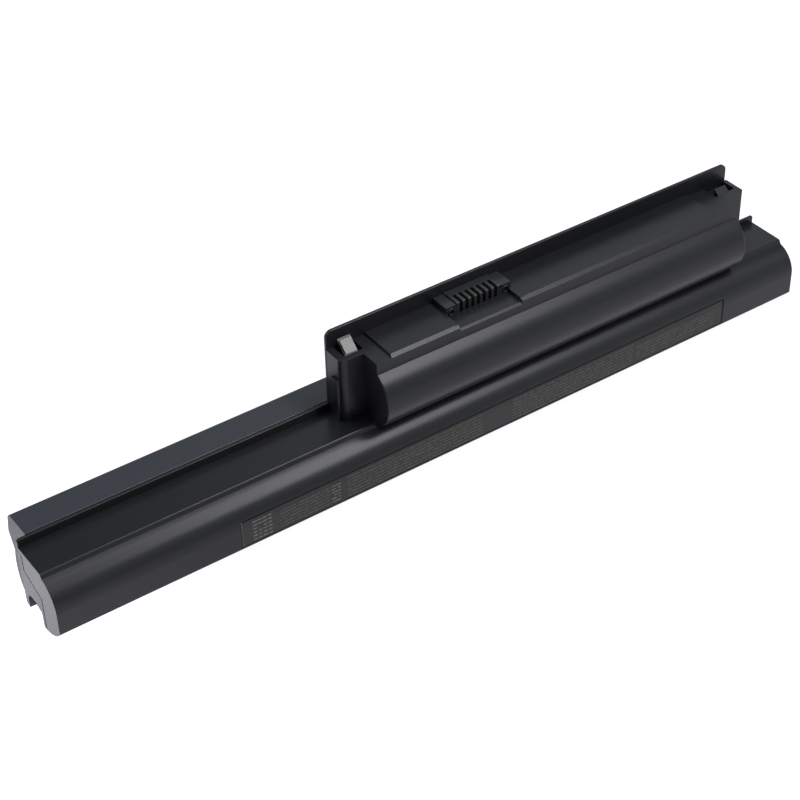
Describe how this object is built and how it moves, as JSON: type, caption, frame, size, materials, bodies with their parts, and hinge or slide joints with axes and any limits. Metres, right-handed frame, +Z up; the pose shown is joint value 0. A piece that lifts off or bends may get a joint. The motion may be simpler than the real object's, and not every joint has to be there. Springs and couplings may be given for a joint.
{
  "type": "laptop battery",
  "caption": "Long black laptop battery pack: a rounded bar with an open channel, a raised deck with a thin fin, latch pockets and a slotted blade connector.",
  "frame": {"origin": "bottom centre of the pack, on the table under the middle of its box", "axes": "+X along the bar from its plain end towards the deck's end, +Y from the rounded front face towards the rear strip, +Z up out of the deck"},
  "size_m": [0.268, 0.0318, 0.0498],
  "materials": {
    "case_plastic": "satin moulded black",
    "connector_plastic": "satin moulded black",
    "contact_metal": "gold flashed",
    "strike_metal": "satin sheet",
    "label_face": "matt printed film",
    "cell_sleeve": "shrink sleeve",
    "nickel": "rolled nickel strip",
    "board_laminate": "solder mask",
    "component_body": "moulded package",
    "ceramic": "fired ceramic"
  },
  "bodies": {
    "root": {"inner_shell": "case_plastic", "outer_shell": "case_plastic", "connector_housing": "connector_plastic", "connector_contacts": "contact_metal", "strike_plate": "strike_metal", "label_film": "label_face", "bar_cell_1": "cell_sleeve", "bar_cell_2": "cell_sleeve", "bar_cell_3": "cell_sleeve", "bar_cell_4": "cell_sleeve", "deck_cell_1": "cell_sleeve", "deck_cell_2": "cell_sleeve", "strap_positive": "nickel", "strap_middle_one": "nickel", "strap_middle_two": "nickel", "strap_negative": "nickel", "circuit_board": "board_laminate", "gauge_chip": "component_body", "switch_chip_1": "component_body", "switch_chip_2": "component_body", "shunt_resistor": "component_body", "chemical_fuse": "component_body", "chip_capacitors": "ceramic", "thermistor": "ceramic"}
  },
  "joints": []
}
